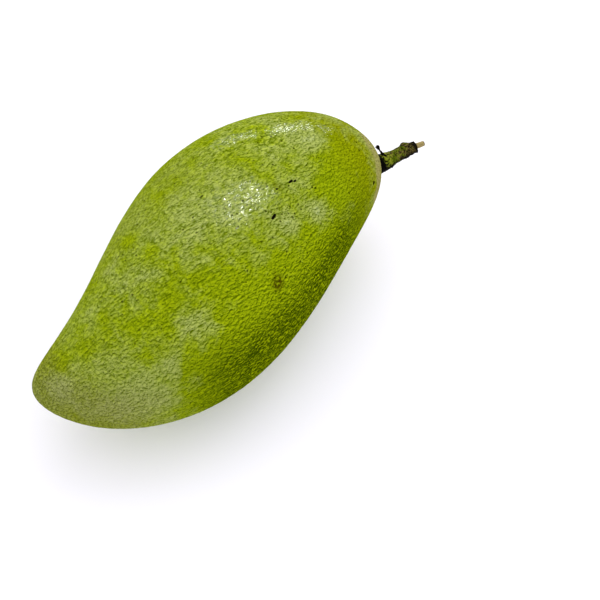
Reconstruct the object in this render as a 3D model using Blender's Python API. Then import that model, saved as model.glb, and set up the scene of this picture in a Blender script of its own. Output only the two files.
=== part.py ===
"""A green mango lying on its side, with the short woody stem that it was picked with.

The fruit's own frame has its long axis on X: the beaked apex at -X, the stem end at +X,
the belly with its shallow hollow on +Y and the full back on -Y. An empty turns that frame
a few degrees, so that the fruit lies as its weight makes it lie, and stands it on z = 0.
"""
import math

import bmesh
import bpy
import numpy as np
from mathutils import Matrix, Vector

MM = 0.001

# The fruit is measured at six sections, from the apex to the stem end. They are evenly
# spaced by angle on a half circle over its length, so they crowd towards both ends.
LENGTH = 150.0 * MM
HALF_WIDTHS = np.array([7.7, 21.1, 33.3, 34.9, 24.9, 10.2]) * MM
HALF_THICKNESSES = np.array([6.3, 19.2, 29.5, 31.9, 24.0, 8.8]) * MM
CORE_OFFSETS = np.array([-1.3, -7.6, -4.3, 4.0, 5.8, 3.4]) * MM
SECTION_ANGLES = (np.arange(6) + 0.5) * math.pi / 6
SECTION_FULLNESS = 2.15
RING_COUNT = 64
RING_SIDES = 48

# How the fruit lies: the stem end slightly up, rolled a little onto its back.
STEM_END_LIFT = math.radians(1.81)
ROLL = math.radians(2.67)
REST_SPOT_DEPTH = 0.5 * MM

# The hollow round the stem's foot, and the clearance between pieces that meet.
HOLLOW_RADIUS = 7.5 * MM
HOLLOW_DEPTH = 0.9 * MM
GAP = 0.3 * MM

# Stem: places along its axis with its radius there, from the root to the broken end.
STEM_AXIS = (
    ((70.0, -4.2, -3.1), 3.0),
    ((73.4, -5.0, -3.1), 3.3),
    ((75.6, -5.4, -3.1), 3.1),
    ((77.8, -5.8, -3.2), 2.8),
    ((80.0, -6.2, -3.2), 2.5),
    ((82.9, -6.8, -3.3), 2.3),
    ((86.0, -7.3, -3.4), 2.3),
    ((88.2, -8.0, -3.4), 2.1),
    ((89.2, -8.4, -3.4), 1.9),
)
STEM_SIDES = 14

# The dried side shoot that leans from the stem's foot, ending in a small knob.
SHOOT_AXIS = (
    ((77.9, -6.6, -2.6), 0.6),
    ((77.0, -6.1, -0.9), 0.5),
    ((76.2, -4.5, 0.2), 0.8),
    ((76.2, -3.1, 0.9), 0.6),
    ((76.3, -2.0, 1.5), 1.0),
    ((76.2, -1.5, 1.9), 0.6),
)
SHOOT_SIDES = 8

# A bud scar that stands out of the stem's upper side near its end.
SCAR_CENTRE = Vector((85.4, -6.1, -2.2)) * MM
SCAR_RADII = Vector((1.7, 1.1, 1.1)) * MM

# The pale wood that the break has left standing out of the stem's end.
CORE_START = Vector((87.0, -7.4, -3.3)) * MM
CORE_END = Vector((92.7, -9.2, -3.5)) * MM
CORE_START_RADIUS = 1.1 * MM
CORE_END_RADIUS = 0.9 * MM
CORE_SIDES = 20

GREEN_SKIN = (0.30, 0.39, 0.045)
DARK_BARK = (0.075, 0.080, 0.022)
PALE_WOOD = (0.52, 0.44, 0.24)


def clear_scene():
    for leftover in list(bpy.data.objects):
        bpy.data.objects.remove(leftover, do_unlink=True)


def make_collection(name):
    collection = bpy.data.collections.new(name)
    bpy.context.scene.collection.children.link(collection)
    return collection


def make_material(name, colour, roughness):
    material = bpy.data.materials.new(name)
    material.use_nodes = True
    shader = material.node_tree.nodes["Principled BSDF"]
    shader.inputs["Base Color"].default_value = (*colour, 1.0)
    shader.inputs["Roughness"].default_value = roughness
    shader.inputs["Metallic"].default_value = 0.0
    material.diffuse_color = (*colour, 1.0)
    return material


def make_object(name, mesh, collection, frame, material=None):
    piece = bpy.data.objects.new(name, mesh)
    collection.objects.link(piece)
    piece.parent = frame
    mesh.shade_smooth()
    if material:
        mesh.materials.append(material)
    return piece


def make_cutter(name, mesh, collection, frame):
    cutter = make_object(name, mesh, collection, frame)
    cutter.hide_render = True
    cutter.display_type = "WIRE"
    return cutter


def add_boolean(piece, cutter, operation):
    modifier = piece.modifiers.new(cutter.name, "BOOLEAN")
    modifier.operation = operation
    modifier.solver = "EXACT"
    modifier.object = cutter


def series_through(section_values):
    """Terms of the cosine series that takes the given values at the six sections."""
    powers = np.arange(len(section_values))
    return np.linalg.solve(np.cos(np.outer(SECTION_ANGLES, powers)), section_values)


def series_at(terms, angle):
    return float(np.dot(terms, np.cos(np.arange(len(terms)) * angle)))


WIDTH_TERMS = series_through(HALF_WIDTHS / np.sin(SECTION_ANGLES))
THICKNESS_TERMS = series_through(HALF_THICKNESSES / np.sin(SECTION_ANGLES))
CORE_TERMS = series_through(CORE_OFFSETS)


def rounded(value):
    """Turns a circle's sine or cosine into that of the slightly fuller section."""
    return math.copysign(abs(value) ** (2.0 / SECTION_FULLNESS), value)


def skin_point(direction):
    """The point of the skin for a direction on the unit sphere, whose +Z is the apex."""
    along = math.acos(max(-1.0, min(1.0, direction.z)))
    around = math.atan2(direction.x, direction.y)
    half_width = math.sin(along) * series_at(WIDTH_TERMS, along)
    half_thickness = math.sin(along) * series_at(THICKNESS_TERMS, along)
    return Vector((
        -0.5 * LENGTH * math.cos(along),
        series_at(CORE_TERMS, along) + half_width * rounded(math.cos(around)),
        half_thickness * rounded(math.sin(around)),
    ))


def sunk_round_stem(point):
    """Moves a point of the skin in along the stem, to leave a hollow round its foot."""
    foot = Vector(STEM_AXIS[1][0]) * MM
    inward = (Vector(STEM_AXIS[0][0]) * MM - foot).normalized()
    reach = (point - foot).length / HOLLOW_RADIUS
    if reach >= 1.0:
        return point
    return point + inward * HOLLOW_DEPTH * (1.0 - reach ** 2) ** 2


def fruit_mesh(pose):
    """The whole fruit, with the small flat spot that its weight rests on."""
    shape = bmesh.new()
    bmesh.ops.create_uvsphere(shape, u_segments=RING_SIDES, v_segments=RING_COUNT, radius=1.0)
    for vertex in shape.verts:
        vertex.co = sunk_round_stem(skin_point(vertex.co.normalized()))
    down = pose.to_3x3().inverted() @ Vector((0.0, 0.0, -1.0))
    lowest = max(vertex.co.dot(down) for vertex in shape.verts)
    cut = bmesh.ops.bisect_plane(
        shape,
        geom=shape.verts[:] + shape.edges[:] + shape.faces[:],
        dist=1e-7,
        plane_co=down * (lowest - REST_SPOT_DEPTH),
        plane_no=down,
        clear_outer=True,
    )
    rim = [part for part in cut["geom_cut"] if isinstance(part, bmesh.types.BMEdge)]
    bmesh.ops.edgeloop_fill(shape, edges=rim)
    bmesh.ops.recalc_face_normals(shape, faces=shape.faces[:])
    mesh = bpy.data.meshes.new("fruit")
    shape.to_mesh(mesh)
    shape.free()
    return mesh


def tube_mesh(name, axis, sides, widened=0.0, lengthened=0.0):
    """A round tube of changing radius along a smooth curve, with closed ends."""
    curve = bpy.data.curves.new(name, "CURVE")
    curve.dimensions = "3D"
    curve.use_fill_caps = True
    curve.bevel_depth = 1.0
    curve.bevel_resolution = sides // 2 - 2
    curve.resolution_u = 3
    places = [Vector(place) * MM for place, radius in axis]
    places[0] += (places[0] - places[1]).normalized() * lengthened
    spline = curve.splines.new("BEZIER")
    spline.bezier_points.add(len(axis) - 1)
    for knot, place, (_, radius) in zip(spline.bezier_points, places, axis):
        knot.co = place
        knot.radius = radius * MM + widened
        knot.handle_left_type = "AUTO"
        knot.handle_right_type = "AUTO"
    source = bpy.data.objects.new(name, curve)
    bpy.context.scene.collection.objects.link(source)
    bpy.context.view_layer.update()
    evaluated = source.evaluated_get(bpy.context.evaluated_depsgraph_get())
    mesh = bpy.data.meshes.new_from_object(evaluated)
    bpy.data.objects.remove(source, do_unlink=True)
    shape = bmesh.new()
    shape.from_mesh(mesh)
    bmesh.ops.remove_doubles(shape, verts=shape.verts[:], dist=1e-6)
    bmesh.ops.recalc_face_normals(shape, faces=shape.faces[:])
    shape.to_mesh(mesh)
    shape.free()
    mesh.name = name
    return mesh


def rod_mesh(name, start, end, start_radius, end_radius):
    """A straight tapered rod from start to end."""
    shape = bmesh.new()
    bmesh.ops.create_cone(
        shape, cap_ends=True, segments=CORE_SIDES,
        radius1=start_radius, radius2=end_radius, depth=(end - start).length,
    )
    turn = Vector((0.0, 0.0, 1.0)).rotation_difference(end - start).to_matrix().to_4x4()
    shape.transform(Matrix.Translation((start + end) * 0.5) @ turn)
    mesh = bpy.data.meshes.new(name)
    shape.to_mesh(mesh)
    shape.free()
    return mesh


def bump_mesh(name, centre, radii):
    shape = bmesh.new()
    bmesh.ops.create_uvsphere(shape, u_segments=12, v_segments=8, radius=1.0)
    shape.transform(Matrix.Translation(centre) @ Matrix.Diagonal((*radii, 1.0)))
    mesh = bpy.data.meshes.new(name)
    shape.to_mesh(mesh)
    shape.free()
    return mesh


def add_fruit(parts, cutters, frame, pose):
    skin = make_material("mango_skin", GREEN_SKIN, 0.5)
    fruit = make_object("fruit", fruit_mesh(pose), parts, frame, skin)
    socket = tube_mesh("stem_socket", STEM_AXIS, STEM_SIDES, widened=GAP, lengthened=GAP)
    add_boolean(fruit, make_cutter("stem_socket", socket, cutters, frame), "DIFFERENCE")
    return fruit


def add_stem(parts, cutters, frame):
    bark = make_material("stem_bark", DARK_BARK, 0.8)
    stem = make_object("stem", tube_mesh("stem", STEM_AXIS, STEM_SIDES), parts, frame, bark)
    shoot = tube_mesh("side_shoot", SHOOT_AXIS, SHOOT_SIDES)
    add_boolean(stem, make_cutter("side_shoot", shoot, cutters, frame), "UNION")
    scar = bump_mesh("bud_scar", SCAR_CENTRE, SCAR_RADII)
    add_boolean(stem, make_cutter("bud_scar", scar, cutters, frame), "UNION")
    back = (CORE_START - CORE_END).normalized() * GAP
    bore = rod_mesh("core_bore", CORE_START + back, CORE_END,
                    CORE_START_RADIUS + GAP, CORE_END_RADIUS + GAP)
    add_boolean(stem, make_cutter("core_bore", bore, cutters, frame), "DIFFERENCE")
    return stem


def add_core(parts, frame):
    wood = make_material("broken_wood", PALE_WOOD, 0.85)
    mesh = rod_mesh("stem_core", CORE_START, CORE_END, CORE_START_RADIUS, CORE_END_RADIUS)
    return make_object("stem_core", mesh, parts, frame, wood)


def stand_on_origin(frame, pieces):
    """Puts the frame where the pieces' box stands centred on the origin, on z = 0."""
    bpy.context.view_layer.update()
    depsgraph = bpy.context.evaluated_depsgraph_get()
    corners = []
    for piece in pieces:
        mesh = piece.evaluated_get(depsgraph).to_mesh()
        corners += [piece.matrix_world @ vertex.co for vertex in mesh.vertices]
    low = [min(corner[axis] for corner in corners) for axis in range(3)]
    high = [max(corner[axis] for corner in corners) for axis in range(3)]
    frame.location = (-0.5 * (low[0] + high[0]), -0.5 * (low[1] + high[1]), -low[2])


def build_mango():
    clear_scene()
    parts = make_collection("mango")
    cutters = make_collection("mango_cutters")
    pose = Matrix.Rotation(-STEM_END_LIFT, 4, "Y") @ Matrix.Rotation(ROLL, 4, "X")
    frame = bpy.data.objects.new("lying_frame", None)
    parts.objects.link(frame)
    frame.rotation_euler = pose.to_euler()
    fruit = add_fruit(parts, cutters, frame, pose)
    stem = add_stem(parts, cutters, frame)
    core = add_core(parts, frame)
    stand_on_origin(frame, (fruit, stem, core))
    bpy.context.view_layer.update()


build_mango()
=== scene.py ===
"""The looks of a green mango with a short woody stem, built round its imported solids.

The skin, the stem with its dried side shoot and the broken wood at its end are rebuilt as
fine meshes on the same formulas and sizes as the solids, and get procedural materials.
All places on the fruit are in its own frame, in millimetres: the long axis on X with the
apex at -X, the belly with its shallow hollow on +Y, the full back on -Y.
"""
import math

import bmesh
import bpy
import numpy as np
from mathutils import Matrix, Vector, noise


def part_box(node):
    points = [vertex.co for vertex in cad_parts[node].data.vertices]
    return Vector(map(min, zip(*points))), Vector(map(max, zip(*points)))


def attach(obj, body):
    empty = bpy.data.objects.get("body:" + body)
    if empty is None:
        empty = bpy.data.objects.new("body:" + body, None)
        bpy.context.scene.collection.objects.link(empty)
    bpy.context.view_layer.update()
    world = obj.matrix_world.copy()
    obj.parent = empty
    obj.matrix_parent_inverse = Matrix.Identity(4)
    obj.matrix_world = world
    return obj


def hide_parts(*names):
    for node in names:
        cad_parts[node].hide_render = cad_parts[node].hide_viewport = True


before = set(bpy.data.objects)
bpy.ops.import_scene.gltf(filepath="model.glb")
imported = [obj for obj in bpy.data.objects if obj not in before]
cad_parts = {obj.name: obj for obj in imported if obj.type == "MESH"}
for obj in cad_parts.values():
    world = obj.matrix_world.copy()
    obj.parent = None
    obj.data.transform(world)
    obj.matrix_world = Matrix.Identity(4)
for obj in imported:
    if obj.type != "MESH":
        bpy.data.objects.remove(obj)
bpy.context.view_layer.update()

MM = 0.001

# The fruit's sections, as in the solids: evenly spaced by angle from the apex to the stem.
LENGTH = 150.0
HALF_WIDTHS = np.array([7.7, 21.1, 33.3, 34.9, 24.9, 10.2])
HALF_THICKNESSES = np.array([6.3, 19.2, 29.5, 31.9, 24.0, 8.8])
CORE_OFFSETS = np.array([-1.3, -7.6, -4.3, 4.0, 5.8, 3.4])
SECTION_ANGLES = (np.arange(6) + 0.5) * math.pi / 6
SECTION_FULLNESS = 2.15
LYING_POSE = (Matrix.Rotation(-math.radians(1.81), 4, "Y")
              @ Matrix.Rotation(math.radians(2.67), 4, "X"))
SKIN_RINGS = 286
SKIN_SIDES = 332
# How far the fine relief and the soft lumps sink the skin's mesh at most.
RELIEF_DEPTH = 0.16
LUMP_DEPTH = 0.24
# How the relief is drawn out along the fruit, and how far its lumps are bent out of line.
RELIEF_STRETCH = (0.66, 1.08, 1.08)
RELIEF_BEND = 2.4
# The way that the relief's painted lit side faces, and how far to each side it is felt for.
PAINTED_LIGHT_WAY = Vector((-0.07, 0.57, 0.82))
PAINTED_LIGHT_REACH = 0.20

STEM_ROOT = np.array([70.0, -4.2, -3.1])
STEM_FOOT = np.array([73.4, -5.0, -3.1])
HOLLOW_RADIUS = 7.5
HOLLOW_DEPTH = 0.9
# The dry tan zone round the stem: its reach from the stem's foot and its soft edge.
TAN_REACH = 15.0
TAN_EDGE = 5.0

# Stem and side shoot: places along the axis with the radius there.
STEM_AXIS = (
    ((70.0, -4.2, -3.1), 3.0),
    ((73.4, -5.0, -3.1), 3.3),
    ((75.6, -5.4, -3.1), 3.1),
    ((77.8, -5.8, -3.2), 2.8),
    ((80.0, -6.2, -3.2), 2.5),
    ((82.9, -6.8, -3.3), 2.3),
    ((86.0, -7.3, -3.4), 2.3),
    ((88.2, -8.0, -3.4), 2.1),
    ((89.2, -8.4, -3.4), 1.9),
)
SHOOT_AXIS = (
    ((77.9, -6.6, -2.6), 0.22),
    ((77.0, -6.1, -0.9), 0.2),
    ((76.2, -4.5, 0.2), 0.5),
    ((76.2, -3.1, 0.9), 0.28),
    ((76.3, -2.0, 1.5), 0.72),
    ((76.2, -1.5, 1.9), 0.5),
)
SCAR_CENTRE = Vector((85.4, -6.1, -2.2))
CORE_AXIS = (
    ((87.0, -7.4, -3.3), 1.1),
    ((90.0, -8.35, -3.4), 1.0),
    ((92.6, -9.15, -3.5), 0.9),
)

# The camera that sees the fruit as the photograph does.
CAMERA_TURN = -44.89
CAMERA_RISE = 50.0
CAMERA_DISTANCE = 0.600
CAMERA_TARGET = Vector((0.0051, -0.0268, 0.0253))
CAMERA_LENS = 109.2

# The lights: name, turn and rise of the side that each shines from, in degrees, width and
# height in metres, watts, and whether it throws shadows. The two small ones only glint.
LIGHT_DISTANCE = 1.4
LIGHT_TARGET = Vector((0.0, 0.0, 0.03))
LIGHTS = (
    ("key", 115.0, 60.0, 1.2, 1.0, 2.5, True),
    ("lamp", 108.0, 58.0, 0.06, 0.05, 4.0, False),
    ("window", 128.0, 15.0, 0.7, 0.025, 3.6, False),
)
FLOOR_RADIUS = 4.0
FLOOR_GAP = 0.0001


def srgb(red, green, blue):
    """A colour named by its 0 to 255 display values, as the linear values shaders take."""
    def linear(value):
        share = value / 255.0
        return share / 12.92 if share <= 0.04045 else ((share + 0.055) / 1.055) ** 2.4
    return (linear(red), linear(green), linear(blue), 1.0)


CLEAR_SKIN = srgb(144, 163, 12)
CLEAR_OLIVE = srgb(134, 143, 26)
CLEAR_GOLD = srgb(141, 149, 4)
PALE_BLOOM = srgb(160, 173, 88)
OLIVE_BLOOM = srgb(158, 163, 98)
HEAVY_BLOOM = srgb(171, 183, 118)
# Painted highlight on the relief's lit side, on clear skin and on bloom.
PAINTED_HIGHLIGHT_CLEAR = srgb(183, 199, 10)
PAINTED_HIGHLIGHT_BLOOM = srgb(206, 216, 110)
# Painted shade along the lower part of the full back.
FLANK_SHADE_TINT = srgb(138, 150, 90)
# Painted shade on the relief's shaded side.
SHADE_TINT = srgb(176, 186, 60)
# Painted shade in the relief's hollows.
CREVICE_SHADE_TINT = srgb(172, 186, 60)
TAN = srgb(166, 158, 100)
# Painted shade on the relief's shaded side in the tan zone.
SHADED_TAN = srgb(140, 132, 60)
SMUDGE = srgb(74, 68, 2)
DARK_MARK = srgb(12, 10, 3)
FINE_SPECK = srgb(40, 46, 0)

GREEN_BARK = (srgb(78, 94, 2), srgb(142, 150, 40))
BROWN_BARK = (srgb(19, 15, 5), srgb(106, 93, 48))
BARK_SHADE = srgb(10, 9, 2)
BARK_FOOT = srgb(6, 5, 2)
BARK_END = srgb(10, 8, 4)
BARK_CRACK = srgb(8, 7, 2)
# Dark and light grain, and the tip.
DRIED_SHOOT = (srgb(4, 3, 2), srgb(20, 17, 8), srgb(10, 8, 4))
BROKEN_WOOD = (srgb(126, 108, 62), srgb(172, 156, 106), srgb(66, 54, 24))
FLOOR_COLOUR = srgb(248, 246, 255)


def series_through(section_values):
    powers = np.arange(len(section_values))
    return np.linalg.solve(np.cos(np.outer(SECTION_ANGLES, powers)), section_values)


WIDTH_TERMS = series_through(HALF_WIDTHS / np.sin(SECTION_ANGLES))
THICKNESS_TERMS = series_through(HALF_THICKNESSES / np.sin(SECTION_ANGLES))
CORE_TERMS = series_through(CORE_OFFSETS)


def rounded(values):
    return np.sign(values) * np.abs(values) ** (2.0 / SECTION_FULLNESS)


def skin_points(directions):
    """Points of the skin, in the fruit's frame, for directions whose +Z is the apex."""
    along = np.arccos(np.clip(directions[:, 2], -1.0, 1.0))
    around = np.arctan2(directions[:, 0], directions[:, 1])
    waves = np.cos(np.outer(along, np.arange(6)))
    half_width = np.sin(along) * (waves @ WIDTH_TERMS)
    half_thickness = np.sin(along) * (waves @ THICKNESS_TERMS)
    return np.column_stack((
        -0.5 * LENGTH * np.cos(along),
        waves @ CORE_TERMS + half_width * rounded(np.cos(around)),
        half_thickness * rounded(np.sin(around)),
    ))


def sunk_round_stem(points):
    """The skin's shallow hollow round the stem's foot."""
    inward = (STEM_ROOT - STEM_FOOT) / np.linalg.norm(STEM_ROOT - STEM_FOOT)
    reach = np.linalg.norm(points - STEM_FOOT, axis=1) / HOLLOW_RADIUS
    depth = HOLLOW_DEPTH * np.clip(1.0 - reach ** 2, 0.0, 1.0) ** 2
    return points + depth[:, None] * inward


def lying(points):
    """Turns points of the fruit's frame into the lying fruit's, still centred on it."""
    return points @ np.array(LYING_POSE.to_3x3()).T


def find_shift():
    """How far the lying fruit is moved to where its solid stands, in millimetres."""
    angles = np.linspace(0.0, math.pi, 361)
    turns = np.linspace(0.0, 2.0 * math.pi, 721)
    along, around = (grid.ravel() for grid in np.meshgrid(angles, turns))
    directions = np.column_stack((
        np.sin(along) * np.sin(around), np.sin(along) * np.cos(around), np.cos(along)))
    points = lying(skin_points(directions))
    low, high = (np.array(corner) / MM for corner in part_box("fruit"))
    return np.array((
        low[0] - points[:, 0].min(),
        0.5 * (low[1] + high[1] - points[:, 1].min() - points[:, 1].max()),
        high[2] - points[:, 2].max(),
    ))


SHIFT = find_shift()


def placed(points):
    """Turns points of the fruit's frame, in millimetres, into the row's, in metres."""
    return (lying(np.asarray(points, float)) + SHIFT) * MM


def fade(values, start, end):
    """0 where the values are at start, 1 where they are at end, and even in between."""
    return np.clip((values - start) / (end - start), 0.0, 1.0)


def direction(turn_degrees, rise_degrees):
    """The way to something seen at a turn round the part from -Y and a rise over the floor."""
    turn, rise = math.radians(turn_degrees), math.radians(rise_degrees)
    return Vector((math.sin(turn) * math.cos(rise), -math.cos(turn) * math.cos(rise),
                   math.sin(rise)))


def set_places(mesh, places):
    mesh.vertices.foreach_set("co", np.asarray(places, np.float32).ravel())
    mesh.update()


def get_places(mesh):
    places = np.empty(len(mesh.vertices) * 3, np.float32)
    mesh.vertices.foreach_get("co", places)
    return places.reshape(-1, 3).astype(float)


def add_attribute(mesh, name, values):
    attribute = mesh.attributes.new(name, "FLOAT", "POINT")
    attribute.data.foreach_set("value", np.asarray(values, np.float32))


def make_piece(name, mesh, material, node):
    piece = bpy.data.objects.new(name, mesh)
    bpy.context.scene.collection.objects.link(piece)
    mesh.materials.append(material)
    mesh.shade_smooth()
    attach(piece, "root")
    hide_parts(node)
    return piece


class Graph:
    """A node tree with short calls for the few kinds of node that the looks need."""

    def __init__(self, tree):
        self.tree = tree

    def node(self, kind, **settings):
        made = self.tree.nodes.new(kind)
        for name, value in settings.items():
            setattr(made, name, value)
        return made

    def feed(self, socket, value):
        if isinstance(value, bpy.types.NodeSocket):
            self.tree.links.new(value, socket)
        else:
            socket.default_value = value

    def noise(self, place, pitch_mm, detail=2.0, roughness=0.5, distortion=0.0):
        made = self.node("ShaderNodeTexNoise")
        self.feed(made.inputs["Vector"], place)
        made.inputs["Scale"].default_value = 1.0 / (pitch_mm * MM)
        made.inputs["Detail"].default_value = detail
        made.inputs["Roughness"].default_value = roughness
        made.inputs["Distortion"].default_value = distortion
        return made.outputs[0]

    def cells(self, place, pitch_mm, feature="F1"):
        made = self.node("ShaderNodeTexVoronoi", feature=feature)
        self.feed(made.inputs["Vector"], place)
        made.inputs["Scale"].default_value = 1.0 / (pitch_mm * MM)
        return made.outputs["Distance"]

    def math(self, operation, first, second=0.0, clamp=False):
        made = self.node("ShaderNodeMath", operation=operation, use_clamp=clamp)
        self.feed(made.inputs[0], first)
        self.feed(made.inputs[1], second)
        return made.outputs[0]

    def ramp(self, value, low, high, to_low=0.0, to_high=1.0, smooth=True):
        made = self.node("ShaderNodeMapRange",
                         interpolation_type="SMOOTHSTEP" if smooth else "LINEAR")
        self.feed(made.inputs["Value"], value)
        made.inputs["From Min"].default_value = low
        made.inputs["From Max"].default_value = high
        made.inputs["To Min"].default_value = to_low
        made.inputs["To Max"].default_value = to_high
        return made.outputs["Result"]

    def mix(self, share, first, second, blend="MIX"):
        made = self.node("ShaderNodeMix", data_type="RGBA", blend_type=blend)
        self.feed(made.inputs["Factor"], share)
        self.feed(made.inputs[6], first)
        self.feed(made.inputs[7], second)
        return made.outputs[2]

    def attribute(self, name):
        return self.node("ShaderNodeAttribute", attribute_name=name).outputs["Fac"]

    def distance(self, place, centre):
        made = self.node("ShaderNodeVectorMath", operation="DISTANCE")
        self.feed(made.inputs[0], place)
        made.inputs[1].default_value = centre
        return made.outputs["Value"]

    def distance_to_dash(self, place, start, end):
        """How far a place is from the straight line between two points."""
        line = Vector(end - start)
        from_start = self.node("ShaderNodeVectorMath", operation="SUBTRACT")
        self.feed(from_start.inputs[0], place)
        from_start.inputs[1].default_value = tuple(start)
        reach = self.node("ShaderNodeVectorMath", operation="DOT_PRODUCT")
        self.feed(reach.inputs[0], from_start.outputs[0])
        reach.inputs[1].default_value = tuple(line / line.length_squared)
        share = self.math("ADD", reach.outputs["Value"], 0.0, True)
        nearest = self.node("ShaderNodeVectorMath", operation="SCALE")
        nearest.inputs[0].default_value = tuple(line)
        self.feed(nearest.inputs["Scale"], share)
        away = self.node("ShaderNodeVectorMath", operation="DISTANCE")
        self.feed(away.inputs[0], from_start.outputs[0])
        self.feed(away.inputs[1], nearest.outputs[0])
        return away.outputs["Value"]


def new_material(name):
    material = bpy.data.materials.new(name)
    material.use_nodes = True
    graph = Graph(material.node_tree)
    shader = material.node_tree.nodes["Principled BSDF"]
    place = graph.node("ShaderNodeTexCoord").outputs["Object"]
    return material, graph, shader, place


def add_bump(graph, shader, height, depth_mm, socket="Normal"):
    bump = graph.node("ShaderNodeBump")
    bump.inputs["Strength"].default_value = 1.0
    bump.inputs["Distance"].default_value = depth_mm * MM
    graph.feed(bump.inputs["Height"], height)
    graph.feed(shader.inputs[socket], bump.outputs["Normal"])


# The pale bloom on the skin: middle of a patch, its reach, and how much it adds to or takes
# from the bloom that lies everywhere.
BLOOM_EVERYWHERE = 0.23
BLOOM_PATCHES = (
    ((-6.5, -31.3, 18.3), 14.5, -0.24),
    ((-23.5, -35.1, 11.9), 9.0, -0.20),
    ((20.0, -29.2, 10.4), 12.0, -0.20),
    ((45.7, -12.9, 20.5), 11.5, -0.26),
    ((57.0, -8.0, 14.0), 9.0, -0.22),
    ((-15.3, -22.4, 25.9), 5.0, -0.12),
    ((-6.2, 17.4, 27.6), 4.2, -0.12),
    ((2.6, 18.3, 28.8), 4.2, -0.12),
    ((11.1, 19.5, 29.1), 3.2, -0.12),
    ((-24.1, 13.0, 24.2), 3.0, -0.12),
    ((-21.6, 1.2, 28.7), 3.2, -0.12),
    ((-31.4, -14.8, 26.0), 6.0, -0.12),
    ((-58.1, -6.0, 16.8), 4.0, -0.12),
    ((-46.2, -8.0, 22.0), 3.0, -0.10),
    ((-65.9, -1.4, 11.9), 3.0, -0.10),
    ((-36.9, -31.5, 13.6), 4.2, -0.10),
    ((54.5, 1.0, 22.0), 5.0, -0.20),
    # This patch is partly bloom and partly painted highlight: the pale haze round the glints.
    ((4.9, -1.4, 32.1), 11.0, 0.20),
    ((-7.5, -2.9, 31.3), 5.0, 0.12),
    ((15.9, -18.5, 26.1), 4.2, 0.42),
    ((29.0, -19.3, 21.7), 3.6, 0.34),
    ((-0.3, -23.6, 25.1), 4.0, 0.06),
    ((45.5, 2.0, 26.5), 6.5, 0.38),
    ((41.4, 13.3, 27.5), 6.0, 0.14),
    ((-69.7, -5.3, 9.0), 4.5, 0.20),
    ((-62.9, -5.5, 14.1), 2.4, 0.12),
    ((-53.5, -26.4, 8.9), 11.0, 0.14),
    ((-63.9, -19.5, 5.3), 10.0, 0.12),
    ((-31.4, -23.8, 22.6), 4.5, 0.20),
    ((-43.6, -26.4, 16.5), 4.2, 0.10),
    ((-30.2, -1.9, 26.9), 3.2, 0.08),
    ((-34.9, 10.5, 21.0), 4.0, 0.12),
    ((42.2, -21.4, 10.2), 5.0, 0.24),
    ((-48.5, 4.0, 18.6), 4.0, 0.12),
    ((30.0, 35.0, 4.0), 9.0, 0.22),
    ((8.0, 35.0, 12.0), 7.0, -0.20),
    ((-12.0, 31.0, -2.0), 8.0, 0.18),
    ((-34.0, 20.0, 2.0), 8.0, -0.18),
    ((-52.0, 9.0, -4.0), 7.0, 0.18),
    ((50.0, 29.0, -4.0), 9.0, -0.22),
    ((24.0, 30.0, -17.0), 8.0, -0.16),
    ((10.0, 13.0, -31.0), 10.0, 0.16),
    ((-20.0, -11.0, -29.0), 10.0, -0.16),
    ((38.0, -5.0, -27.0), 9.0, 0.14),
    ((26.0, -27.0, -11.0), 8.0, 0.14),
)

# The waxy gloss: middle of a patch and its reach.
GLOSS_PATCHES = (
    ((4.0, -3.0, 32.0), 8.0),
    ((12.5, -6.0, 31.5), 7.0),
    ((17.0, -8.5, 30.4), 4.5),
    ((21.6, 19.7, 29.0), 3.4),
    ((26.3, 18.0, 29.2), 3.6),
    ((31.7, 15.0, 29.3), 3.2),
    ((38.5, 11.5, 28.6), 3.0),
    ((44.0, 9.8, 27.3), 3.6),
    ((50.4, 8.2, 25.0), 3.4),
    ((55.5, 3.8, 22.8), 3.0),
    ((20.0, 25.0, -18.0), 12.0),
    ((-20.0, -10.0, -27.0), 14.0),
)

# Small dark marks: their two ends, half width and darkness.
MARKS = (
    ((12.4, -15.1, 28.6), (14.0, -14.7, 28.6), 0.50, 1.0),
    ((26.6, -8.5, 29.0), (27.8, -8.3, 28.8), 0.42, 1.0),
    ((28.3, -9.0, 28.5), (28.9, -8.8, 28.3), 0.38, 1.0),
    ((21.0, -8.2, 30.1), (21.3, -8.2, 30.0), 0.46, 1.0),
    ((60.1, -15.3, 6.7), (60.5, -15.1, 6.7), 0.55, 1.0),
    ((15.9, -1.2, 31.9), (16.6, -0.9, 31.9), 0.30, 0.9),
    ((17.8, 2.0, 32.0), (18.3, 2.1, 32.0), 0.28, 0.8),
    ((0.7, 5.3, 31.8), (1.2, 5.3, 31.8), 0.32, 0.8),
    ((-6.9, 1.1, 31.3), (-6.5, 1.3, 31.3), 0.30, 0.8),
    ((7.5, -12.7, 30.1), (8.2, -12.9, 30.0), 0.26, 0.8),
    ((20.0, 0.3, 31.7), (20.5, 0.3, 31.7), 0.26, 0.7),
    ((57.5, 3.6, 21.8), (57.9, 3.6, 21.6), 0.30, 0.9),
    ((22.0, 35.8, 14.2), (23.4, 35.7, 14.2), 0.40, 1.0),
    ((38.0, 32.9, -14.4), (39.0, 32.4, -14.7), 0.36, 1.0),
    ((-14.0, 30.7, 7.1), (-13.6, 30.8, 7.1), 0.40, 0.9),
    ((-38.0, 18.3, -9.2), (-37.4, 18.5, -9.4), 0.34, 0.9),
    ((-20.0, -10.9, -29.0), (-19.2, -10.9, -29.1), 0.40, 1.0),
)
# Larger brown smudges: middle, reach and strength.
SMUDGES = (
    ((0.7, -29.7, 19.1), 3.8, 1.0),
    ((22.0, -7.6, 30.0), 2.6, 0.4),
    ((1.5, -27.0, 21.8), 1.4, 0.4),
    ((5.0, 37.4, -3.3), 2.4, 0.8),
    ((12.0, 12.9, -31.2), 3.0, 0.7),
)


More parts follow.
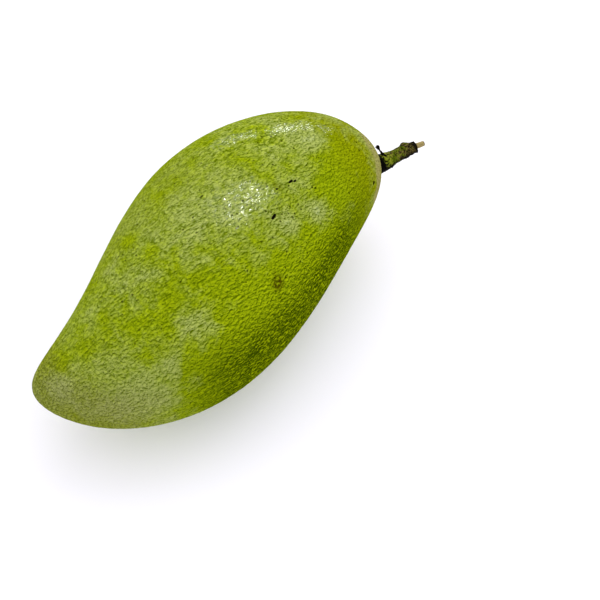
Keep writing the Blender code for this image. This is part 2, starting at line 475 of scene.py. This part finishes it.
def cloud(points, pitch_mm, seed):
    """Soft noise round 0, from -1 to 1, on points in millimetres."""
    offset = Vector((seed * 17.3, seed * 5.1, seed * 9.7))
    return np.array([noise.noise(Vector(point) / pitch_mm + offset) for point in points])


def gloss_field(points):
    """How waxy the skin is at each point, from 0 to 1."""
    field = np.zeros(len(points))
    for middle, reach in GLOSS_PATCHES:
        away = np.linalg.norm(points - np.array(middle), axis=1) / reach
        field = np.maximum(field, np.exp(-away ** 2))
    return field


def flank_shade_field(points):
    """Painted shade: darker green along the lower part of the fruit's full back, from 0 to 1."""
    x, y, z = points.T
    edge = -22.0 + 0.3 * np.maximum(x, 0.0)
    ends = fade(x, -46.0, -26.0) * fade(x, 60.0, 36.0)
    return fade(y, edge, edge - 12.0) * fade(z, 18.0, 8.0) * ends


def bloom_field(points):
    """How much bloom lies at each point, before the fine mottling."""
    field = BLOOM_EVERYWHERE + 0.10 * cloud(points, 16.0, 5)
    for middle, reach, change in BLOOM_PATCHES:
        away = np.linalg.norm(points - np.array(middle), axis=1) / reach
        field = field + change * np.exp(-away ** 2)
    return np.maximum(field - 0.3 * flank_shade_field(points), 0.0)


def pebble_height(graph, place):
    """The skin's fine relief, from 0 in its crevices to 1 on its lumps."""
    drawn_out = graph.node("ShaderNodeVectorMath", operation="MULTIPLY")
    graph.feed(drawn_out.inputs[0], place)
    drawn_out.inputs[1].default_value = RELIEF_STRETCH
    place = drawn_out.outputs[0]
    drift = graph.node("ShaderNodeTexNoise")
    graph.feed(drift.inputs["Vector"], place)
    drift.inputs["Scale"].default_value = 1.0 / (1.6 * MM)
    drift.inputs["Detail"].default_value = 1.0
    centred = graph.node("ShaderNodeVectorMath", operation="SUBTRACT")
    graph.feed(centred.inputs[0], drift.outputs["Color"])
    centred.inputs[1].default_value = (0.5, 0.5, 0.5)
    bent = graph.node("ShaderNodeVectorMath", operation="MULTIPLY_ADD")
    graph.feed(bent.inputs[0], centred.outputs[0])
    bent.inputs[1].default_value = (RELIEF_BEND * MM,) * 3
    graph.feed(bent.inputs[2], place)
    lumps = graph.ramp(graph.cells(bent.outputs[0], 2.0, "DISTANCE_TO_EDGE"), 0.0, 0.5)
    grain = graph.ramp(graph.noise(place, 0.85, 2.0, 0.6, 0.5), 0.25, 0.75, 0.0, 1.0, False)
    return graph.math("ADD", graph.math("MULTIPLY", lumps, 0.30),
                      graph.math("MULTIPLY", grain, 0.70))


def lit_side(graph, place):
    """How much the relief rises towards the top, round 0; its rising side gets painted light and
    its falling side painted shade.
    """
    heights = []
    for way in (PAINTED_LIGHT_REACH * MM, -PAINTED_LIGHT_REACH * MM):
        moved = graph.node("ShaderNodeVectorMath", operation="ADD")
        graph.feed(moved.inputs[0], place)
        moved.inputs[1].default_value = tuple(PAINTED_LIGHT_WAY * way)
        heights.append(pebble_height(graph, moved.outputs[0]))
    return graph.math("SUBTRACT", heights[1], heights[0])


def relief_modifier(piece):
    """Sinks the skin's mesh by the same relief that its material shows."""
    tree = bpy.data.node_groups.new("skin_relief", "GeometryNodeTree")
    for way in ("INPUT", "OUTPUT"):
        tree.interface.new_socket("Geometry", in_out=way, socket_type="NodeSocketGeometry")
    graph = Graph(tree)
    entry = graph.node("NodeGroupInput")
    leave = graph.node("NodeGroupOutput")
    place = graph.node("GeometryNodeInputPosition").outputs[0]
    normal = graph.node("GeometryNodeInputNormal").outputs[0]
    depth = graph.ramp(pebble_height(graph, place), 0.0, 1.0, -RELIEF_DEPTH * MM, 0.0, False)
    offset = graph.node("ShaderNodeVectorMath", operation="SCALE")
    graph.feed(offset.inputs[0], normal)
    graph.feed(offset.inputs["Scale"], depth)
    mover = graph.node("GeometryNodeSetPosition")
    graph.feed(mover.inputs["Geometry"], entry.outputs[0])
    graph.feed(mover.inputs["Offset"], offset.outputs[0])
    graph.feed(leave.inputs[0], mover.outputs[0])
    modifier = piece.modifiers.new("relief", "NODES")
    modifier.node_group = tree


def skin_fields(points):
    """What varies over the skin at large, from 0 to 1 or as a factor, by attribute name."""
    x, y, z = points.T
    apex = fade(x, -40.0, -66.0)
    stem_end = fade(x, 42.0, 62.0)
    belly = fade(y, 0.0, 14.0) * fade(x, 28.0, 8.0)
    back = fade(y, -20.0, -30.0) * fade(x, -36.0, -16.0)
    crown = fade(y, 2.0, 10.0) * fade(np.abs(x - 32.0), 28.0, 16.0) * fade(z, 12.0, 20.0)
    calm = np.maximum(belly, apex)
    # How strongly light and shade are painted on the relief: more on the back and crown, less on
    # the belly, the apex and the stem end.
    relief_light_strength = 1.0 + 0.60 * back + 0.30 * crown - 0.25 * calm
    from_stem = np.linalg.norm(points - STEM_FOOT, axis=1)
    reach = TAN_REACH + 2.5 * cloud(points, 8.0, 9)
    return {
        "bloom": bloom_field(points),
        "flank_shade": flank_shade_field(points),
        "gloss": gloss_field(points),
        "gold": stem_end,
        "olive": np.maximum(apex * np.maximum(fade(z, 18.0, 6.0), 0.3), 0.30 * belly),
        "tan": fade(from_stem, reach + TAN_EDGE, reach) * (0.5 + 0.5 * fade(y, 4.0, -4.0)),
        "specked": 1.0 - apex,
        "mottled": 1.0 - 0.60 * calm,
        "relief_light_strength": relief_light_strength - 0.50 * stem_end * (1.0 - back),
    }


def skin_mesh():
    shape = bmesh.new()
    bmesh.ops.create_uvsphere(shape, u_segments=SKIN_SIDES, v_segments=SKIN_RINGS, radius=1.0)
    mesh = bpy.data.meshes.new("mango_skin")
    shape.to_mesh(mesh)
    shape.free()
    points = sunk_round_stem(skin_points(get_places(mesh)))
    for name, values in skin_fields(points).items():
        add_attribute(mesh, name, values)
    outward = points / np.maximum(np.linalg.norm(points, axis=1, keepdims=True), 1e-6)
    sunk = 0.5 * LUMP_DEPTH * (1.0 - cloud(points, 14.0, 3))
    places = placed(points - outward * sunk[:, None])
    places[:, 2] = np.maximum(places[:, 2], 0.0)
    set_places(mesh, places)
    return mesh


def skin_colour(graph, place, height, blotches):
    """Clear skin under its bloom, with painted shade along the lower back and in the relief's
    hollows, the tan zone, and painted light and shade on the relief's two sides.
    """
    streak = graph.math("ABSOLUTE", graph.math("SUBTRACT", graph.noise(place, 4.2, 2.0), 0.5))
    streak = graph.ramp(streak, 0.0, 0.035, 0.10, 0.0)
    worn = graph.math("ADD", streak, graph.ramp(height, 0.2, 0.8, 0.07, -0.05, False))
    ragged = graph.math("SUBTRACT", blotches, worn)
    bloom = graph.math("ADD", graph.math("MULTIPLY", graph.attribute("bloom"), 2.2), ragged)
    heavy = graph.ramp(bloom, 1.08, 1.36)
    bloom = graph.ramp(bloom, 0.16, 0.94)
    olive = graph.math("ADD", graph.attribute("olive"), graph.math("MULTIPLY", blotches, 0.4))
    olive = graph.ramp(olive, 0.1, 0.9)
    dry = graph.math("ADD", graph.attribute("tan"), graph.math("MULTIPLY", blotches, 0.8))
    dry = graph.ramp(dry, 0.30, 0.75, 0.0, 0.85)
    # Painted shade along the lower part of the full back.
    flank_shade = graph.math("MULTIPLY", graph.attribute("flank_shade"), 0.9)

    clear = graph.mix(olive, CLEAR_SKIN, CLEAR_OLIVE)
    clear = graph.mix(graph.attribute("gold"), clear, CLEAR_GOLD)
    veiled = graph.mix(olive, PALE_BLOOM, OLIVE_BLOOM)
    veiled = graph.mix(heavy, veiled, HEAVY_BLOOM)
    colour = graph.mix(bloom, clear, veiled)
    colour = graph.mix(flank_shade, colour, FLANK_SHADE_TINT, "MULTIPLY")
    colour = graph.mix(dry, colour, TAN)
    # Painted shade: the relief's hollows are darkened.
    crevice_shade = graph.ramp(height, 0.22, 0.50, 0.45, 0.0)
    colour = graph.mix(crevice_shade, colour, CREVICE_SHADE_TINT, "MULTIPLY")

    # Painted shade on the relief's falling side and painted highlight on its rising side.
    shaded = graph.mix(flank_shade, clear, FLANK_SHADE_TINT, "MULTIPLY")
    shaded = graph.mix(1.0, shaded, SHADE_TINT, "MULTIPLY")
    shaded = graph.mix(dry, shaded, SHADED_TAN)
    painted_highlight = graph.mix(bloom, PAINTED_HIGHLIGHT_CLEAR, PAINTED_HIGHLIGHT_BLOOM)
    relief_light_strength = graph.math("MULTIPLY", graph.attribute("relief_light_strength"),
                          graph.ramp(dry, 0.0, 1.0, 1.0, 0.4))
    light = graph.ramp(lit_side(graph, place), -0.30, 0.30, -1.0, 1.0, False)
    light = graph.math("MULTIPLY", light, relief_light_strength)
    colour = graph.mix(graph.math("MULTIPLY", light, -0.95, True), colour, shaded)
    return graph.mix(graph.math("MULTIPLY", light, 0.50, True), colour, painted_highlight)


def add_marks(graph, place, colour):
    """Smudges, dark marks and fine scattered specks over the skin's colour."""
    for middle, reach, strength in SMUDGES:
        away = graph.distance(place, tuple(placed([middle])[0]))
        inside = graph.ramp(away, 0.2 * reach * MM, reach * MM, strength, 0.0)
        blotchy = graph.ramp(graph.noise(place, 0.9, 1.0), 0.35, 0.6, 0.35, 1.0)
        colour = graph.mix(graph.math("MULTIPLY", inside, blotchy), colour, SMUDGE)
    for start, end, half_width, darkness in MARKS:
        size = half_width * MM
        away = graph.distance_to_dash(place, *placed([start, end]))
        wobble = graph.ramp(graph.noise(place, 0.8), 0.2, 0.8, -0.35 * size, 0.35 * size, False)
        away = graph.math("ADD", away, wobble)
        inside = graph.ramp(away, 0.75 * size, 1.25 * size, darkness, 0.0)
        colour = graph.mix(inside, colour, DARK_MARK)
    specks = graph.ramp(graph.cells(place, 2.3), 0.13, 0.19, 0.80, 0.0)
    scattered = graph.ramp(graph.noise(place, 12.0, 1.0), 0.44, 0.58)
    scattered = graph.math("MULTIPLY", scattered, graph.attribute("specked"))
    return graph.mix(graph.math("MULTIPLY", specks, scattered), colour, FINE_SPECK)


def skin_gloss(graph, place, blotches):
    """How much wax lies on the skin. It breaks up finely, so that glints stay small."""
    gloss = graph.math("ADD", graph.attribute("gloss"), graph.math("MULTIPLY", blotches, 0.6))
    gloss = graph.ramp(gloss, 0.15, 0.80, 0.0, 0.72)
    broken = graph.ramp(graph.noise(place, 1.1, 1.0), 0.42, 0.55, 0.12, 1.0)
    return graph.math("MULTIPLY", gloss, broken)


def skin_material():
    material, graph, shader, place = new_material("mango_skin")
    height = pebble_height(graph, place)
    blotches = graph.ramp(graph.noise(place, 7.0, 4.0, 0.52, 0.6), 0.22, 0.78, -0.42, 0.42, False)
    blotches = graph.math("MULTIPLY", blotches, graph.attribute("mottled"))
    colour = add_marks(graph, place, skin_colour(graph, place, height, blotches))
    graph.feed(shader.inputs["Base Color"], colour)
    shader.inputs["Roughness"].default_value = 0.45
    shader.inputs["Specular IOR Level"].default_value = 0.0
    graph.feed(shader.inputs["Coat Weight"], skin_gloss(graph, place, blotches))
    shader.inputs["Coat Roughness"].default_value = 0.08
    add_bump(graph, shader, height, 1.15)
    waves = graph.math("MULTIPLY", graph.noise(place, 3.6, 1.0), 6.0)
    add_bump(graph, shader, graph.math("ADD", height, waves), 0.09, "Coat Normal")
    return material


def smooth_axis(axis, steps):
    """Evenly spread places and radii on a smooth curve through the axis's own places."""
    knots = [Vector(place) for place, radius in axis]
    radii = [radius for place, radius in axis]
    last = len(axis) - 1
    places, widths = [], []
    for step in range(steps + 1):
        at = step / steps * last
        index = min(int(at), last - 1)
        share = at - index
        before, start = max(index - 1, 0), index
        end, after = index + 1, min(index + 2, last)
        weights = (
            -0.5 * share + share ** 2 - 0.5 * share ** 3,
            1.0 - 2.5 * share ** 2 + 1.5 * share ** 3,
            0.5 * share + 2.0 * share ** 2 - 1.5 * share ** 3,
            -0.5 * share ** 2 + 0.5 * share ** 3,
        )
        picks = (before, start, end, after)
        places.append(sum((knots[i] * w for i, w in zip(picks, weights)), Vector()))
        widths.append(sum(radii[i] * w for i, w in zip(picks, weights)))
    return places, widths


def tube_mesh(name, axis, steps, sides, bumps):
    """A closed tube along the axis. bumps(along, around, place) adds to its radius.

    The mesh keeps how far each point is along the axis and how much it faces down.
    """
    places, widths = smooth_axis(axis, steps)
    shape = bmesh.new()
    rings = []
    along, down = [], []
    side = Vector((0.0, 0.0, 1.0))
    for step, (place, width) in enumerate(zip(places, widths)):
        ahead = (places[min(step + 1, steps)] - places[max(step - 1, 0)]).normalized()
        across = ahead.cross(side).normalized()
        over = across.cross(ahead)
        ring = []
        for corner in range(sides):
            turn = 2.0 * math.pi * corner / sides
            out = across * math.cos(turn) + over * math.sin(turn)
            radius = width + bumps(step / steps, turn, place + out * width)
            ring.append(shape.verts.new(place + out * radius))
            along.append(step / steps)
            down.append(-out.z)
        rings.append(ring)
    for near, far in zip(rings, rings[1:]):
        for corner in range(sides):
            after = (corner + 1) % sides
            shape.faces.new((near[corner], near[after], far[after], far[corner]))
    for ring, place, flip in ((rings[0], places[0], False), (rings[-1], places[-1], True)):
        middle = shape.verts.new(place)
        for corner in range(sides):
            after = (corner + 1) % sides
            pair = (ring[corner], ring[after]) if flip else (ring[after], ring[corner])
            shape.faces.new((*pair, middle))
    bmesh.ops.recalc_face_normals(shape, faces=shape.faces[:])
    mesh = bpy.data.meshes.new(name)
    shape.to_mesh(mesh)
    shape.free()
    set_places(mesh, placed(get_places(mesh)))
    add_attribute(mesh, "along", along + [0.0, 1.0])
    add_attribute(mesh, "down", down + [0.0, 0.0])
    return mesh


def bark_bumps(along, around, place):
    """Ridges, knots and grain on the bark, the rim at its end and the swollen bud scar."""
    ridges = noise.noise(Vector((math.cos(around) * 3.0, math.sin(around) * 3.0, along * 5.0)))
    knots = noise.noise(place / 1.3)
    grain = noise.noise(place / 0.5)
    rim = 0.15 * math.exp(-((along - 0.97) / 0.02) ** 2)
    scar = 0.9 * math.exp(-((place - SCAR_CENTRE).length / 1.5) ** 2)
    return 0.25 * ridges + 0.35 * knots + 0.14 * grain + rim + scar


def shoot_bumps(along, around, place):
    return 0.12 * noise.noise(place / 0.5)


def core_bumps(along, around, place):
    fibres = noise.noise(Vector((math.cos(around) * 5.0, math.sin(around) * 5.0, along * 1.5)))
    return 0.08 * fibres - 0.10 * max(0.0, along - 0.9) / 0.1


def bark_material():
    material, graph, shader, place = new_material("stem_bark")
    patchy = graph.noise(place, 1.8, detail=3.0, roughness=0.65)
    speckle = graph.noise(place, 0.7, detail=2.0, roughness=0.7)
    along = graph.attribute("along")
    down = graph.attribute("down")
    green = graph.mix(graph.ramp(patchy, 0.38, 0.62), *GREEN_BARK)
    brown = graph.mix(graph.ramp(speckle, 0.40, 0.60), *BROWN_BARK)
    share = graph.math("ADD", along, graph.ramp(patchy, 0.35, 0.65, -0.30, 0.30, False))
    colour = graph.mix(graph.ramp(share, 0.45, 0.75), green, brown)
    shade = graph.math("ADD", down, graph.ramp(speckle, 0.35, 0.65, -0.5, 0.5, False))
    colour = graph.mix(graph.ramp(shade, -0.32, 0.16), colour, BARK_SHADE)
    foot = graph.math("ADD", along, graph.ramp(speckle, 0.35, 0.65, -0.06, 0.06, False))
    colour = graph.mix(graph.ramp(foot, 0.21, 0.26, 1.0, 0.0), colour, BARK_FOOT)
    colour = graph.mix(graph.ramp(foot, 0.86, 0.91, 0.0, 0.95), colour, BARK_END)
    crack = graph.math("ABSOLUTE", graph.math("SUBTRACT", graph.noise(place, 1.3, 2.0), 0.5))
    colour = graph.mix(graph.ramp(crack, 0.018, 0.045, 0.95, 0.0), colour, BARK_CRACK)
    graph.feed(shader.inputs["Base Color"], colour)
    shader.inputs["Roughness"].default_value = 0.6
    shader.inputs["Specular IOR Level"].default_value = 0.02
    add_bump(graph, shader, graph.math("MINIMUM", graph.ramp(crack, 0.0, 0.05), speckle), 0.5)
    return material


def plain_material(name, colours, pitch_mm, roughness, depth_mm):
    """Grained matter between a dark and a light colour, with a tip of a third."""
    dark, light, tip = colours
    material, graph, shader, place = new_material(name)
    grain = graph.noise(place, pitch_mm, detail=3.0, roughness=0.6)
    colour = graph.mix(graph.ramp(grain, 0.35, 0.65), dark, light)
    along = graph.math("ADD", graph.attribute("along"), graph.math("MULTIPLY", grain, 0.1))
    colour = graph.mix(graph.ramp(along, 0.94, 1.03), colour, tip)
    graph.feed(shader.inputs["Base Color"], colour)
    shader.inputs["Roughness"].default_value = roughness
    shader.inputs["Specular IOR Level"].default_value = 0.02
    add_bump(graph, shader, grain, depth_mm)
    return material


def add_fruit():
    skin = make_piece("mango_skin", skin_mesh(), skin_material(), "fruit")
    relief_modifier(skin)
    depsgraph = bpy.context.evaluated_depsgraph_get()
    sunk = bpy.data.meshes.new_from_object(skin.evaluated_get(depsgraph))
    skin.modifiers.clear()
    skin.data = sunk


def add_stem():
    bark = tube_mesh("stem_bark", STEM_AXIS, 150, 72, bark_bumps)
    make_piece("stem_bark", bark, bark_material(), "stem")
    shoot = tube_mesh("stem_side_shoot", SHOOT_AXIS, 50, 24, shoot_bumps)
    dried = plain_material("dried_shoot", DRIED_SHOOT, 0.6, 0.7, 0.1)
    make_piece("stem_side_shoot", shoot, dried, "stem")
    core = tube_mesh("stem_broken_wood", CORE_AXIS, 40, 40, core_bumps)
    wood = plain_material("broken_wood", BROKEN_WOOD, 0.5, 0.8, 0.1)
    make_piece("stem_broken_wood", core, wood, "stem_core")


def add_floor():
    bpy.ops.mesh.primitive_circle_add(vertices=64, radius=FLOOR_RADIUS, fill_type="NGON",
                                      location=(0.0, 0.0, -FLOOR_GAP))
    floor = bpy.context.object
    floor.name = "floor"
    material, graph, shader, place = new_material("floor")
    shader.inputs["Base Color"].default_value = FLOOR_COLOUR
    shader.inputs["Roughness"].default_value = 0.9
    shader.inputs["Specular IOR Level"].default_value = 0.1
    floor.data.materials.append(material)


def add_area_light(name, turn, rise, width, height, power, shades):
    light = bpy.data.lights.new(name, "AREA")
    light.shape = "RECTANGLE"
    light.size = width
    light.size_y = height
    light.energy = power
    light.use_shadow = shades
    lamp = bpy.data.objects.new(name, light)
    bpy.context.scene.collection.objects.link(lamp)
    towards = direction(turn, rise)
    lamp.location = LIGHT_TARGET + towards * LIGHT_DISTANCE
    lamp.rotation_mode = "QUATERNION"
    lamp.rotation_quaternion = towards.to_track_quat("Z", "Y")


def add_light():
    world = bpy.data.worlds.new("studio")
    world.use_nodes = True
    background = world.node_tree.nodes["Background"]
    background.inputs["Color"].default_value = (1.0, 1.0, 1.0, 1.0)
    background.inputs["Strength"].default_value = 1.0
    bpy.context.scene.world = world
    for light in LIGHTS:
        add_area_light(*light)
    bpy.context.scene.view_settings.view_transform = "Standard"


def add_camera():
    camera = bpy.data.objects.new("camera", bpy.data.cameras.new("camera"))
    bpy.context.scene.collection.objects.link(camera)
    camera.data.lens = CAMERA_LENS
    back = direction(CAMERA_TURN, CAMERA_RISE)
    camera.location = CAMERA_TARGET + back * CAMERA_DISTANCE
    camera.rotation_mode = "QUATERNION"
    camera.rotation_quaternion = (-back).to_track_quat("-Z", "Y")
    bpy.context.scene.camera = camera


add_camera()
add_fruit()
add_stem()
add_floor()
add_light()
